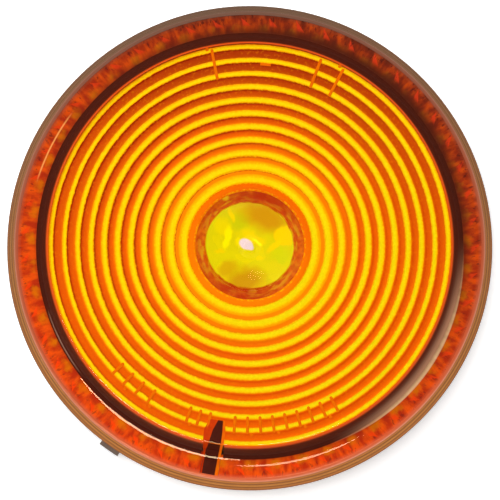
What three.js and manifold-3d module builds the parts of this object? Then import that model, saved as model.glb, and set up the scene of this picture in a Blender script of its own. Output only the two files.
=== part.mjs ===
// Internally lit, round raised pavement marker.
// Millimetres, +Z up. The origin is the centre of the flat face that is stuck to the road.
// A twist-off amber lens locks onto a low base by three bayonet lugs. Under it a reflector dish
// covers the board with its emitter, coin cells and push switch.

import * as THREE from 'three';
import { mergeVertices } from 'three/addons/utils/BufferGeometryUtils.js';
import Module from 'manifold-3d';

const wasm = await Module();
wasm.setup();

// ---------------------------------------------------------------- driving dimensions

const GAP = 0.3; // clearance between pieces that touch on the real marker
const TURN = 2 * Math.PI;
const ROUND = 64; // sides of a large round piece
const SMALL_ROUND = 32; // sides of a small round piece

// Heights of the stack, from the road up
const PAD_HEIGHT = 1.5;
const BASE_SEAT = PAD_HEIGHT + GAP;
const BASE_FLOOR = 2.7;
const FLOOR_TOP = BASE_SEAT + BASE_FLOOR;
const LENS_SEAT = FLOOR_TOP + GAP;
const BOARD_BOSS = 0.6;
const BOARD_SEAT = FLOOR_TOP + BOARD_BOSS + GAP;
const BOARD_HEIGHT = 1.0;
const BOARD_TOP = BOARD_SEAT + BOARD_HEIGHT;
const PART_SEAT = BOARD_TOP + GAP; // what is soldered to the board starts here

// Lens: radii, and heights above its own lower rim
const LENS_RADIUS = 50;
const SKIRT_THICKNESS = 1.5;
const SKIRT_STEPS = 4;
const STEP_RUN = 1.45; // height of one skirt step
const STEP_IN = 0.33; // how far each step stands back from the one below
const STEP_DRAFT = 0.08;
const STEP_LEDGE = 0.2; // height over which the skin steps in
const SHOULDER_RADIUS = 48.3;
const FLANGE_HEIGHT = 7.5;
const FLANGE_UNDERSIDE = 6.2;
const WALL_FOOT_RADIUS = 43.7;
const PLATEAU_RADIUS = 41.6;
const PLATEAU_HEIGHT = 13.6;
const PLATEAU_UNDERSIDE = 11.9;
const INNER_WALL_FOOT = 42.6;
const INNER_WALL_TOP = 41.45;

// Ring optics under the plateau: prisms of one pitch round a plain window
const RING_COUNT = 11;
const FIRST_RING_RADIUS = 13.43;
const RING_PITCH = 2.729;
const RING_DEPTH = 0.8;
const RISER_SHARE = 0.62; // of the pitch, from a prism's crest in to the groove before it
const CREST_SHARE = 0.2; // of the pitch, from a ring's middle out to its crest
const WINDOW_RADIUS = 11.3;
const WINDOW_RIM_RADIUS = 12.6;
const WINDOW_RECESS = 0.3; // how far the window's underside stands below the grooves

// Keyway inside the lens, across the outer rings, the wall and the reflex ring
const KEYWAY_ANGLE = THREE.MathUtils.degToRad(260);
const KEYWAY_WIDTH = 2.4;
const KEYWAY_DEPTH = 0.8;
const KEYWAY_WALL_DEPTH = 0.3; // less than elsewhere, because the wall is thin
const KEYWAY_INNER_RADIUS = 36;
const KEYWAY_OUTER_RADIUS = 47.4;

// Bayonet: three lens lugs that turn under the base's broken rim
const LUG_COUNT = 3;
const LUG_ANGLE = THREE.MathUtils.degToRad(30); // first lug, in the locked place
const LUG_WIDTH = THREE.MathUtils.degToRad(10);
const LUG_TIP_RADIUS = 45.7;
const LUG_LOW = 0.4;
const LUG_HEIGHT = 1.6;
const UNLOCK_TURN = THREE.MathUtils.degToRad(22);
const ENTRY_WIDTH = THREE.MathUtils.degToRad(14);
const STOP_WIDTH = THREE.MathUtils.degToRad(3);
const STOP_CLEARANCE = THREE.MathUtils.degToRad(0.4);

// Base housing
const BASE_RADIUS = 49.0;
const BASE_WALL_OUTER = 45.2;
const BASE_WALL_INNER = 41.4;
const BASE_WALL_HEIGHT = 4.5;
const BAYONET_RIM_RADIUS = 46.7;
const BAYONET_RIM_LOW = 2.7; // above the floor
const BAYONET_RIM_HEIGHT = 1.2;
const SEAL_GROOVE_INNER = 42.2;
const SEAL_GROOVE_OUTER = 44.3;
const SEAL_GROOVE_DEPTH = 1.0;
const INDEX_LUG_ANGLE = THREE.MathUtils.degToRad(235);
const INDEX_LUG_WIDTH = THREE.MathUtils.degToRad(5);
const INDEX_LUG_RADIUS = 50.8;
const PAD_RADIUS = 47.5;

// Reflex ring: radial prisms seen through the lens flange
const PRISM_COUNT = 51;
const REFLEX_INNER = 44.4;
const REFLEX_OUTER = 47.1;
const REFLEX_LOW = 4.8; // above the lens's lower rim
const REFLEX_BODY = 0.6;
const PRISM_HEIGHT = 0.5;

// Reflector dish over the electronics
const DISH_SKIRT_OUTER = 39.6;
const DISH_SKIRT_INNER = 38.7;
const DISH_MOUTH = 12.2;
const DISH_THICKNESS = 0.9;
const DISH_MOUTH_HEIGHT = 7.6; // above its seat
const DISH_EDGE_HEIGHT = 10.0;

// Board and what stands on it
const BOARD_RADIUS = 38.2;
const SCREW_CIRCLE = 31;
const SCREW_ANGLE = THREE.MathUtils.degToRad(30);
const BOSS_RADIUS = 3.2;
const SCREW_SHANK_RADIUS = 1.1;
const SCREW_HOLE_RADIUS = 1.45;
const SCREW_HEAD_RADIUS = 2.3;
const SCREW_HEAD_HEIGHT = 1.3;
const SCREW_DEPTH = 2.6;
const CELL_CIRCLE = 24.6;
const CELL_ANGLE = THREE.MathUtils.degToRad(90);
const CELL_RADIUS = 12.25; // a 24.5 mm by 3 mm lithium coin cell
const CELL_HEIGHT = 3.0;
const HOLDER_WALL = 1.1;
const HOLDER_FLOOR = 0.5;
const HOLDER_HEIGHT = 3.0;
const PARTS_CIRCLE = 18;
const SWITCH_ANGLE = THREE.MathUtils.degToRad(30);
const CHIP_ANGLE = THREE.MathUtils.degToRad(150);
const CAPACITOR_ANGLE = THREE.MathUtils.degToRad(270);
const SWITCH_SIDE = 6.0;
const SWITCH_HEIGHT = 3.6;
const BUTTON_RADIUS = 1.7;
const BUTTON_HEIGHT = 3.5;
const BUTTON_INSET = 0.8; // how far the button stands in the switch body
const BUTTON_TRAVEL = 0.6;
const BUTTON_HOLE_RADIUS = 2.3;

// Emitter in the middle
const SPREADER_RADIUS = 8.6;
const SPREADER_HEIGHT = 1.4;
const EMITTER_SIDE = 3.5;
const EMITTER_HEIGHT = 0.9;
const EMITTER_DOME = 1.3;
const COLLAR_FOOT_OUTER = 8.2;
const COLLAR_FOOT_INNER = 2.9; // the hole that the emitter stands in
const COLLAR_TOP_OUTER = 11.2;
const COLLAR_HEIGHT = 4.2;
const BULLSEYE_RADIUS = 8.94;
const BULLSEYE_EDGE = 1.0;
const BULLSEYE_HEIGHT = 2.5;

// ---------------------------------------------------------------- helpers

function point(radius, height) {
  return new THREE.Vector2(radius, height);
}

// Turns a profile of (radius, height) points round the Z axis.
function lathe(profile, sides = ROUND) {
  const geometry = new THREE.LatheGeometry(profile, sides);
  geometry.rotateX(Math.PI / 2);
  return geometry;
}

// A ring of one closed section. The last point repeats the first.
function ring(section, sides = ROUND) {
  return lathe([...section, section[0]], sides);
}

// An upright cylinder that stands on its own z = 0.
function cylinder(radius, height, sides = SMALL_ROUND) {
  const geometry = new THREE.CylinderGeometry(radius, radius, height, sides);
  geometry.rotateX(Math.PI / 2);
  geometry.translate(0, 0, height / 2);
  return geometry;
}

// A block that stands on its own z = 0.
function block(length, width, height) {
  const geometry = new THREE.BoxGeometry(length, width, height);
  geometry.translate(0, 0, height / 2);
  return geometry;
}

// Part of a flat ring, centred on an angle, from low to low + height.
function sector(inner, outer, angle, width, low, height) {
  const shape = new THREE.Shape();
  shape.absarc(0, 0, outer, angle - width / 2, angle + width / 2, false);
  shape.absarc(0, 0, inner, angle + width / 2, angle - width / 2, true);
  const geometry = new THREE.ExtrudeGeometry(shape, {
    depth: height,
    bevelEnabled: false,
    curveSegments: 6,
  });
  geometry.translate(0, 0, low);
  return geometry;
}

function solid(geometry) {
  const bare = geometry.clone();
  bare.deleteAttribute('normal');
  bare.deleteAttribute('uv');
  const merged = mergeVertices(bare, 1e-4);
  return new wasm.Manifold(
    new wasm.Mesh({
      numProp: 3,
      vertProperties: new Float32Array(merged.attributes.position.array),
      triVerts: new Uint32Array(merged.index.array),
    }),
  );
}

function geometryOf(manifold) {
  const mesh = manifold.getMesh();
  const geometry = new THREE.BufferGeometry();
  geometry.setAttribute('position', new THREE.BufferAttribute(mesh.vertProperties, 3));
  geometry.setIndex(new THREE.BufferAttribute(mesh.triVerts, 1));
  geometry.computeVertexNormals();
  return geometry;
}

function polar(radius, angle, height = 0) {
  return new THREE.Vector3(radius * Math.cos(angle), radius * Math.sin(angle), height);
}

function thirdOf(index) {
  return (index * TURN) / 3;
}

function plastic(color, roughness = 0.5) {
  return new THREE.MeshStandardMaterial({ color, roughness, metalness: 0 });
}

function metal(color, roughness = 0.35) {
  return new THREE.MeshStandardMaterial({ color, roughness, metalness: 1 });
}

function part(name, geometry, material) {
  const mesh = new THREE.Mesh(geometry, material);
  mesh.name = name;
  return mesh;
}

// ---------------------------------------------------------------- lens

// Outer skin from the lower rim up over the flange and wall to the axis.
function lensSkin() {
  const skin = [];
  for (let step = 0; step < SKIRT_STEPS; step += 1) {
    const radius = LENS_RADIUS - step * STEP_IN;
    skin.push(point(radius, step * STEP_RUN));
    skin.push(point(radius - STEP_DRAFT, (step + 1) * STEP_RUN - STEP_LEDGE));
  }
  skin.push(point(SHOULDER_RADIUS + 0.25, FLANGE_HEIGHT - 1.2));
  skin.push(point(SHOULDER_RADIUS - 0.1, FLANGE_HEIGHT - 0.5));
  skin.push(point(SHOULDER_RADIUS - 0.8, FLANGE_HEIGHT - 0.2));
  skin.push(point(WALL_FOOT_RADIUS + 0.6, FLANGE_HEIGHT));
  skin.push(point(WALL_FOOT_RADIUS, FLANGE_HEIGHT + 0.5));
  skin.push(point(PLATEAU_RADIUS + 0.2, PLATEAU_HEIGHT - 0.5));
  skin.push(point(PLATEAU_RADIUS - 0.2, PLATEAU_HEIGHT));
  skin.push(point(0, PLATEAU_HEIGHT));
  return skin;
}

// Inner skin from the axis out over the window rim and the ring prisms, and down the wall.
function lensInside() {
  const crestHeight = PLATEAU_UNDERSIDE - RING_DEPTH;
  const inside = [
    point(0, PLATEAU_UNDERSIDE - WINDOW_RECESS),
    point(WINDOW_RADIUS, PLATEAU_UNDERSIDE - WINDOW_RECESS),
    point(WINDOW_RADIUS + 0.15, crestHeight),
    point(WINDOW_RIM_RADIUS - 0.6, crestHeight),
  ];
  for (let index = 0; index < RING_COUNT; index += 1) {
    const middle = FIRST_RING_RADIUS + index * RING_PITCH;
    const groove = Math.max(middle - RISER_SHARE * RING_PITCH, WINDOW_RIM_RADIUS - 0.4);
    inside.push(point(groove, PLATEAU_UNDERSIDE));
    inside.push(point(middle + CREST_SHARE * RING_PITCH, crestHeight));
  }
  inside.push(point(INNER_WALL_TOP, PLATEAU_UNDERSIDE - 0.5));
  inside.push(point(INNER_WALL_FOOT, FLANGE_UNDERSIDE));
  inside.push(point(SHOULDER_RADIUS - 1.1, FLANGE_UNDERSIDE));
  inside.push(point(LENS_RADIUS - SKIRT_THICKNESS - 0.9, FLANGE_UNDERSIDE - 0.8));
  inside.push(point(LENS_RADIUS - SKIRT_THICKNESS, 0));
  return inside;
}

// What the keyway takes away: everything under the lens's inside, moved out by the keyway's depth.
function keywayCutter() {
  const raised = [
    point(0, 0),
    point(KEYWAY_OUTER_RADIUS, 0),
    point(KEYWAY_OUTER_RADIUS, FLANGE_UNDERSIDE + KEYWAY_DEPTH),
    point(INNER_WALL_FOOT + KEYWAY_WALL_DEPTH, FLANGE_UNDERSIDE + KEYWAY_DEPTH),
    point(INNER_WALL_TOP + KEYWAY_WALL_DEPTH, PLATEAU_UNDERSIDE),
    point(INNER_WALL_TOP - KEYWAY_DEPTH, PLATEAU_UNDERSIDE + KEYWAY_DEPTH / 2),
    point(0, PLATEAU_UNDERSIDE + KEYWAY_DEPTH / 2),
  ];
  return solid(lathe(raised)).intersect(solid(keywayBar(FLANGE_UNDERSIDE - 1)));
}

// A bar along the keyway that stands on the given height and reaches above the lens.
function keywayBar(low) {
  const length = KEYWAY_OUTER_RADIUS + 2 - KEYWAY_INNER_RADIUS;
  const bar = block(length, KEYWAY_WIDTH, PLATEAU_HEIGHT + 4 - low);
  bar.translate(KEYWAY_INNER_RADIUS + length / 2, 0, low);
  bar.rotateZ(KEYWAY_ANGLE);
  return bar;
}

function lensGeometry() {
  let body = solid(lathe([...lensInside(), ...lensSkin()]));
  for (let index = 0; index < LUG_COUNT; index += 1) {
    const angle = LUG_ANGLE + thirdOf(index);
    const outer = LENS_RADIUS - SKIRT_THICKNESS + 0.5;
    body = body.add(
      solid(sector(LUG_TIP_RADIUS, outer, angle, LUG_WIDTH, LUG_LOW, LUG_HEIGHT)),
    );
  }
  return geometryOf(body.subtract(keywayCutter()));
}

// A ring whose top rises and falls in radial prisms, with a gap at the keyway.
function reflexGeometry() {
  const top = REFLEX_BODY;
  const section = [
    point(REFLEX_OUTER, 0),
    point(REFLEX_OUTER, top),
    point(REFLEX_INNER, top),
    point(REFLEX_INNER, 0),
  ];
  const geometry = ring(section, 2 * PRISM_COUNT);
  const places = geometry.attributes.position;
  for (let index = 0; index < places.count; index += 1) {
    const angle = Math.atan2(places.getX(index), places.getY(index)); // the seam is on the Y axis
    const column = Math.round((angle / TURN) * 2 * PRISM_COUNT);
    const onCrest = Math.abs(column) % 2 === 1;
    if (onCrest && places.getZ(index) > top / 2) {
      places.setZ(index, top + PRISM_HEIGHT);
    }
  }
  return geometryOf(solid(geometry).subtract(solid(keywayBar(-1))));
}

function makeLens() {
  const group = new THREE.Group();
  group.position.z = LENS_SEAT;
  const lens = part('lens_cap', lensGeometry(), plastic(0xff8a00, 0.12));
  const reflex = part('reflex_ring', reflexGeometry(), plastic(0xe8440e, 0.25));
  reflex.position.z = REFLEX_LOW;
  group.add(lens, reflex);
  return group;
}

// ---------------------------------------------------------------- base

// A post under the bayonet rim that ends the lens's turn.
function turnStop(angle, rimLow) {
  const low = BASE_FLOOR - 0.5;
  const height = rimLow - low + 0.5;
  return sector(BASE_WALL_OUTER - 0.5, BAYONET_RIM_RADIUS - 0.2, angle, STOP_WIDTH, low, height);
}

function baseGeometry() {
  const rimLow = BASE_FLOOR + BAYONET_RIM_LOW;
  const wallTop = BASE_FLOOR + BASE_WALL_HEIGHT;
  const grooveFloor = wallTop - SEAL_GROOVE_DEPTH;
  const section = [
    point(0, 0),
    point(BASE_RADIUS - 0.4, 0),
    point(BASE_RADIUS, 0.4),
    point(BASE_RADIUS, BASE_FLOOR),
    point(BASE_WALL_OUTER, BASE_FLOOR),
    point(BASE_WALL_OUTER, wallTop),
    point(SEAL_GROOVE_OUTER, wallTop),
    point(SEAL_GROOVE_OUTER, grooveFloor),
    point(SEAL_GROOVE_INNER, grooveFloor),
    point(SEAL_GROOVE_INNER, wallTop),
    point(BASE_WALL_INNER, wallTop),
    point(BASE_WALL_INNER, BASE_FLOOR),
    point(0, BASE_FLOOR),
  ];
  let body = solid(lathe(section));
  const pitch = TURN / LUG_COUNT;
  for (let index = 0; index < LUG_COUNT; index += 1) {
    const entry = LUG_ANGLE + UNLOCK_TURN + index * pitch;
    const middle = entry + pitch / 2;
    const width = pitch - ENTRY_WIDTH;
    body = body.add(
      solid(
        sector(
          BASE_WALL_OUTER - 0.5,
          BAYONET_RIM_RADIUS,
          middle,
          width,
          rimLow,
          BAYONET_RIM_HEIGHT,
        ),
      ),
    );
    const stopTurn = (LUG_WIDTH + STOP_WIDTH) / 2 + STOP_CLEARANCE;
    for (const stopAngle of [entry - UNLOCK_TURN - stopTurn, entry + stopTurn]) {
      body = body.add(solid(turnStop(stopAngle, rimLow)));
    }
    const boss = cylinder(BOSS_RADIUS, BOARD_BOSS + 0.5, 24);
    const place = polar(SCREW_CIRCLE, SCREW_ANGLE + thirdOf(index), BASE_FLOOR - 0.5);
    boss.translate(place.x, place.y, place.z);
    body = body.add(solid(boss));
  }
  for (let index = 0; index < LUG_COUNT; index += 1) {
    const bore = cylinder(SCREW_HOLE_RADIUS, SCREW_DEPTH, 16);
    const place = polar(SCREW_CIRCLE, SCREW_ANGLE + thirdOf(index));
    bore.translate(place.x, place.y, BASE_FLOOR + BOARD_BOSS - SCREW_DEPTH + 0.5);
    body = body.subtract(solid(bore));
  }
  const lug = sector(
    BASE_RADIUS - 0.8,
    INDEX_LUG_RADIUS,
    INDEX_LUG_ANGLE,
    INDEX_LUG_WIDTH,
    0,
    BASE_FLOOR,
  );
  return geometryOf(body.add(solid(lug)));
}

// A squashed O-ring: a rounded section of eight points.
function sealGeometry() {
  const width = SEAL_GROOVE_OUTER - SEAL_GROOVE_INNER - 2 * GAP;
  const lensUnderside = LENS_SEAT + FLANGE_UNDERSIDE;
  const grooveFloor = BASE_SEAT + BASE_FLOOR + BASE_WALL_HEIGHT - SEAL_GROOVE_DEPTH;
  const height = lensUnderside - grooveFloor - 2 * GAP;
  const middle = (SEAL_GROOVE_INNER + SEAL_GROOVE_OUTER) / 2;
  const corner = width / 4;
  const section = [
    point(middle + width / 2 - corner, 0),
    point(middle + width / 2, corner),
    point(middle + width / 2, height - corner),
    point(middle + width / 2 - corner, height),
    point(middle - width / 2 + corner, height),
    point(middle - width / 2, height - corner),
    point(middle - width / 2, corner),
    point(middle - width / 2 + corner, 0),
  ];
  return ring(section);
}

function makeBase() {
  const group = new THREE.Group();
  const pad = part(
    'adhesive_pad',
    lathe([
      point(0, 0),
      point(PAD_RADIUS - 0.3, 0),
      point(PAD_RADIUS, 0.3),
      point(PAD_RADIUS - 0.2, PAD_HEIGHT),
      point(0, PAD_HEIGHT),
    ]),
    plastic(0x17171a, 0.8),
  );
  const base = part('base_housing', baseGeometry(), plastic(0x3a3330, 0.55));
  base.position.z = BASE_SEAT;
  const seal = part('lens_seal', sealGeometry(), plastic(0x1c1c1c, 0.7));
  seal.position.z = FLOOR_TOP + BASE_WALL_HEIGHT - SEAL_GROOVE_DEPTH + GAP;
  group.add(pad, base, seal);
  return group;
}

// ---------------------------------------------------------------- light

function dishGeometry() {
  const section = [
    point(DISH_MOUTH, DISH_MOUTH_HEIGHT - DISH_THICKNESS),
    point(DISH_SKIRT_INNER, DISH_EDGE_HEIGHT - DISH_THICKNESS),
    point(DISH_SKIRT_INNER, 0),
    point(DISH_SKIRT_OUTER, 0),
    point(DISH_SKIRT_OUTER, DISH_EDGE_HEIGHT - 0.4),
    point(DISH_SKIRT_OUTER - 0.4, DISH_EDGE_HEIGHT),
    point(DISH_SKIRT_INNER - 0.4, DISH_EDGE_HEIGHT),
    point(DISH_MOUTH, DISH_MOUTH_HEIGHT),
  ];
  const hole = cylinder(BUTTON_HOLE_RADIUS, DISH_EDGE_HEIGHT, 24);
  const place = polar(PARTS_CIRCLE, SWITCH_ANGLE, DISH_MOUTH_HEIGHT / 2);
  hole.translate(place.x, place.y, place.z);
  return geometryOf(solid(ring(section)).subtract(solid(hole)));
}

// A reflecting cup round the emitter. It flares to a wide speckled face round the bull's-eye.
function collarGeometry() {
  const section = [
    point(COLLAR_FOOT_INNER, 0),
    point(COLLAR_FOOT_OUTER, 0),
    point(COLLAR_FOOT_OUTER, 1.4),
    point(COLLAR_TOP_OUTER, 3.0),
    point(COLLAR_TOP_OUTER, COLLAR_HEIGHT),
    point(BULLSEYE_RADIUS + GAP, COLLAR_HEIGHT),
    point(BULLSEYE_RADIUS + GAP, COLLAR_HEIGHT - BULLSEYE_EDGE),
    point(BULLSEYE_RADIUS - 0.8, COLLAR_HEIGHT - BULLSEYE_EDGE),
    point(COLLAR_FOOT_INNER + 1.2, 0.5),
    point(COLLAR_FOOT_INNER, 0.4),
  ];
  return ring(section, SMALL_ROUND);
}

function bullseyeGeometry() {
  const section = [point(0, 0), point(BULLSEYE_RADIUS, 0), point(BULLSEYE_RADIUS, BULLSEYE_EDGE)];
  const steps = 4;
  for (let step = 1; step <= steps; step += 1) {
    const lean = (step / steps) * (Math.PI / 2);
    const rise = (BULLSEYE_HEIGHT - BULLSEYE_EDGE) * Math.sin(lean);
    section.push(point(BULLSEYE_RADIUS * Math.cos(lean), BULLSEYE_EDGE + rise));
  }
  section[section.length - 1].x = 0;
  return lathe(section, SMALL_ROUND);
}

function emitterGeometry() {
  const body = solid(block(EMITTER_SIDE, EMITTER_SIDE, EMITTER_HEIGHT));
  const dome = lathe(
    [
      point(0, EMITTER_HEIGHT - 0.3),
      point(EMITTER_DOME, EMITTER_HEIGHT - 0.3),
      point(EMITTER_DOME, EMITTER_HEIGHT),
      point(EMITTER_DOME * 0.85, EMITTER_HEIGHT + EMITTER_DOME * 0.5),
      point(EMITTER_DOME * 0.5, EMITTER_HEIGHT + EMITTER_DOME * 0.85),
      point(0, EMITTER_HEIGHT + EMITTER_DOME),
    ],
    16,
  );
  return geometryOf(body.add(solid(dome)));
}

function makeLight() {
  const group = new THREE.Group();
  const dish = part('reflector_dish', dishGeometry(), plastic(0xf1ede2, 0.3));
  dish.position.z = FLOOR_TOP + GAP;
  const spreader = part(
    'heat_spreader',
    cylinder(SPREADER_RADIUS, SPREADER_HEIGHT),
    metal(0xb9bcc0),
  );
  spreader.position.z = PART_SEAT;
  const spreaderTop = PART_SEAT + SPREADER_HEIGHT + GAP;
  const emitter = part('led_emitter', emitterGeometry(), plastic(0xfff2c0, 0.2));
  emitter.position.z = spreaderTop;
  const collar = part('emitter_collar', collarGeometry(), plastic(0x9a2c08, 0.45));
  collar.position.z = spreaderTop;
  const bullseye = part('bullseye_lens', bullseyeGeometry(), plastic(0xe8d210, 0.08));
  bullseye.position.z = spreaderTop + COLLAR_HEIGHT - BULLSEYE_EDGE + GAP;
  group.add(dish, spreader, emitter, collar, bullseye);
  return group;
}

// ---------------------------------------------------------------- board and power

function boardGeometry() {
  let body = solid(cylinder(BOARD_RADIUS, BOARD_HEIGHT, 48));
  for (let index = 0; index < LUG_COUNT; index += 1) {
    const hole = cylinder(SCREW_HOLE_RADIUS, BOARD_HEIGHT + 2, 16);
    const place = polar(SCREW_CIRCLE, SCREW_ANGLE + thirdOf(index), -1);
    hole.translate(place.x, place.y, place.z);
    body = body.subtract(solid(hole));
  }
  return geometryOf(body);
}

// Pan-head screw with a cross recess. Its head stands on z = 0.
function screwGeometry() {
  const profile = [
    point(0, -SCREW_DEPTH),
    point(SCREW_SHANK_RADIUS, -SCREW_DEPTH + 0.5),
    point(SCREW_SHANK_RADIUS, 0),
    point(SCREW_HEAD_RADIUS, 0),
    point(SCREW_HEAD_RADIUS, SCREW_HEAD_HEIGHT * 0.5),
    point(SCREW_HEAD_RADIUS * 0.7, SCREW_HEAD_HEIGHT),
    point(0, SCREW_HEAD_HEIGHT),
  ];
  const cut = block(SCREW_HEAD_RADIUS * 1.3, 0.5, 2);
  cut.translate(0, 0, SCREW_HEAD_HEIGHT - 0.7);
  const across = cut.clone();
  across.rotateZ(Math.PI / 2);
  return geometryOf(solid(lathe(profile, 16)).subtract(solid(cut).add(solid(across))));
}

// Open cup for one cell, with a mouth towards the rim of the marker to push the cell out.
function holderGeometry() {
  const inner = CELL_RADIUS + GAP;
  const outer = inner + HOLDER_WALL;
  const section = [
    point(0, 0),
    point(outer, 0),
    point(outer, HOLDER_HEIGHT),
    point(inner, HOLDER_HEIGHT),
    point(inner, HOLDER_FLOOR),
    point(0, HOLDER_FLOOR),
  ];
  const mouth = block(outer, 10, HOLDER_HEIGHT);
  mouth.translate(outer * 0.95, 0, HOLDER_FLOOR);
  return geometryOf(solid(lathe(section, SMALL_ROUND)).subtract(solid(mouth)));
}

function cellGeometry() {
  const lip = 0.5;
  return lathe(
    [
      point(0, 0),
      point(CELL_RADIUS - 1.6, 0),
      point(CELL_RADIUS - 1.2, 0.35),
      point(CELL_RADIUS, 0.35),
      point(CELL_RADIUS, CELL_HEIGHT - lip * 0.4),
      point(CELL_RADIUS - lip, CELL_HEIGHT),
      point(0, CELL_HEIGHT),
    ],
    SMALL_ROUND,
  );
}

// Spring contact: a strip folded over the cell's edge from the side nearest the emitter.
function contactGeometry() {
  const thick = 0.3;
  const width = 4;
  const reach = 5;
  const top = HOLDER_FLOOR + GAP + CELL_HEIGHT + GAP;
  const shape = new THREE.Shape();
  shape.moveTo(0, 0);
  shape.lineTo(thick, 0);
  shape.lineTo(thick, top);
  shape.lineTo(reach, top);
  shape.lineTo(reach, top + thick);
  shape.lineTo(0, top + thick);
  shape.closePath();
  const geometry = new THREE.ExtrudeGeometry(shape, { depth: width, bevelEnabled: false });
  geometry.rotateX(Math.PI / 2);
  geometry.translate(0, width / 2, 0);
  return geometry;
}

function makePower() {
  const group = new THREE.Group();
  for (let index = 0; index < 3; index += 1) {
    const angle = CELL_ANGLE + thirdOf(index);
    const number = index + 1;
    const bay = new THREE.Group();
    bay.position.copy(polar(CELL_CIRCLE, angle, PART_SEAT));
    bay.rotation.z = angle;
    const holder = part(`cell_holder_${number}`, holderGeometry(), plastic(0x22252a));
    const cell = part(`coin_cell_${number}`, cellGeometry(), metal(0xc9ccd0, 0.25));
    cell.position.z = HOLDER_FLOOR + GAP;
    const contact = part(`cell_contact_${number}`, contactGeometry(), metal(0xd2b45a, 0.3));
    contact.position.y = CELL_RADIUS + 2 * GAP + HOLDER_WALL + 0.5;
    contact.rotation.z = -Math.PI / 2;
    bay.add(holder, cell, contact);
    group.add(bay);
    const screw = part(`board_screw_${number}`, screwGeometry(), metal(0xb0b3b8));
    screw.position.copy(polar(SCREW_CIRCLE, SCREW_ANGLE + thirdOf(index), PART_SEAT));
    screw.rotation.z = angle;
    group.add(screw);
  }
  return group;
}

// A square case with a bore that the button sinks into.
function switchGeometry() {
  const depth = BUTTON_INSET + BUTTON_TRAVEL + GAP;
  const bore = cylinder(BUTTON_RADIUS + GAP, depth + 1, 24);
  bore.translate(0, 0, SWITCH_HEIGHT - depth);
  return geometryOf(solid(block(SWITCH_SIDE, SWITCH_SIDE, SWITCH_HEIGHT)).subtract(solid(bore)));
}

function makeBoard() {
  const group = new THREE.Group();
  const board = part('control_board', boardGeometry(), plastic(0x1f5c3a, 0.5));
  board.position.z = BOARD_SEAT;
  const chip = part('driver_chip', block(6, 5, 1.4), plastic(0x18181a, 0.4));
  chip.position.copy(polar(PARTS_CIRCLE, CHIP_ANGLE, PART_SEAT));
  chip.rotation.z = CHIP_ANGLE;
  const capacitor = part('storage_capacitor', cylinder(3.1, 3.8, 24), metal(0xaeb4bd));
  capacitor.position.copy(polar(PARTS_CIRCLE, CAPACITOR_ANGLE, PART_SEAT));
  const body = part('switch_body', switchGeometry(), plastic(0x2a2a2c));
  body.position.copy(polar(PARTS_CIRCLE, SWITCH_ANGLE, PART_SEAT));
  body.rotation.z = SWITCH_ANGLE;
  const button = part(
    'switch_button',
    cylinder(BUTTON_RADIUS, BUTTON_HEIGHT, 24),
    plastic(0xd8d4c8, 0.4),
  );
  const buttonSeat = PART_SEAT + SWITCH_HEIGHT - BUTTON_INSET;
  button.position.copy(polar(PARTS_CIRCLE, SWITCH_ANGLE, buttonSeat));
  group.add(board, chip, capacitor, body, button);
  return group;
}

// ---------------------------------------------------------------- the marker

const marker = new THREE.Group();
marker.add(makeBase(), makeBoard(), makePower(), makeLight(), makeLens());

export default marker;
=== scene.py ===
"""Looks of an internally lit, round road marker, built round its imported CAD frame."""

import math

import bmesh
import bpy
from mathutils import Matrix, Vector


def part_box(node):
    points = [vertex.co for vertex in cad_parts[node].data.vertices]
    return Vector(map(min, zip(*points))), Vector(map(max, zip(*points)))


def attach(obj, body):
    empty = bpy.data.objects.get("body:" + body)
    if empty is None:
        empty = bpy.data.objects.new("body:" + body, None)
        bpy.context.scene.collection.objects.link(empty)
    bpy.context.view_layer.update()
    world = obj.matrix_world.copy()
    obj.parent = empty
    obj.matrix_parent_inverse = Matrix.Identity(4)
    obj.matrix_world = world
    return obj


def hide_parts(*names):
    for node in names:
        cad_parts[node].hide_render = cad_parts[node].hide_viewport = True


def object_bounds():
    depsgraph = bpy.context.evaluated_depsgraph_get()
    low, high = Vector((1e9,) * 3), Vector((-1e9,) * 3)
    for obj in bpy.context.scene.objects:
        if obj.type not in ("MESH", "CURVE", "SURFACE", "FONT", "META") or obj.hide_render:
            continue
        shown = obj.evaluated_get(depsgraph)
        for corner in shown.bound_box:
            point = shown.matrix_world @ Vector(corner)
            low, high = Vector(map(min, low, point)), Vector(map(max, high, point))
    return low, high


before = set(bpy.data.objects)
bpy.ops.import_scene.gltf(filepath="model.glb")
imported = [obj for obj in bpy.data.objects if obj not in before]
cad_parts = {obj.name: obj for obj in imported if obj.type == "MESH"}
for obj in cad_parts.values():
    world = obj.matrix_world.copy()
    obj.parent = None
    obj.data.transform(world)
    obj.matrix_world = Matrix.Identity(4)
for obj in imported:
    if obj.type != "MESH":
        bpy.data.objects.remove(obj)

CAD_LOW, CAD_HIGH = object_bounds()

# ---- driving dimensions
# Lengths are in millimetres. MM turns them into metres.

MM = 0.001
LENS_LOW, LENS_HIGH = (corner.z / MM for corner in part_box("lens_cap"))
LENS_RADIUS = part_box("lens_cap")[1].x / MM
BASE_LOW, BASE_WALL_TOP = (corner.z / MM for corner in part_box("base_housing"))
PAD_LOW, PAD_TOP = (corner.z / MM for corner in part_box("adhesive_pad"))
COLLAR_LOW, COLLAR_TOP = (corner.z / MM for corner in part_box("emitter_collar"))
DOME_LOW, DOME_TOP = (corner.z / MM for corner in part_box("bullseye_lens"))
EMITTER_LOW, EMITTER_TOP = (corner.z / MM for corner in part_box("led_emitter"))

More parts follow.
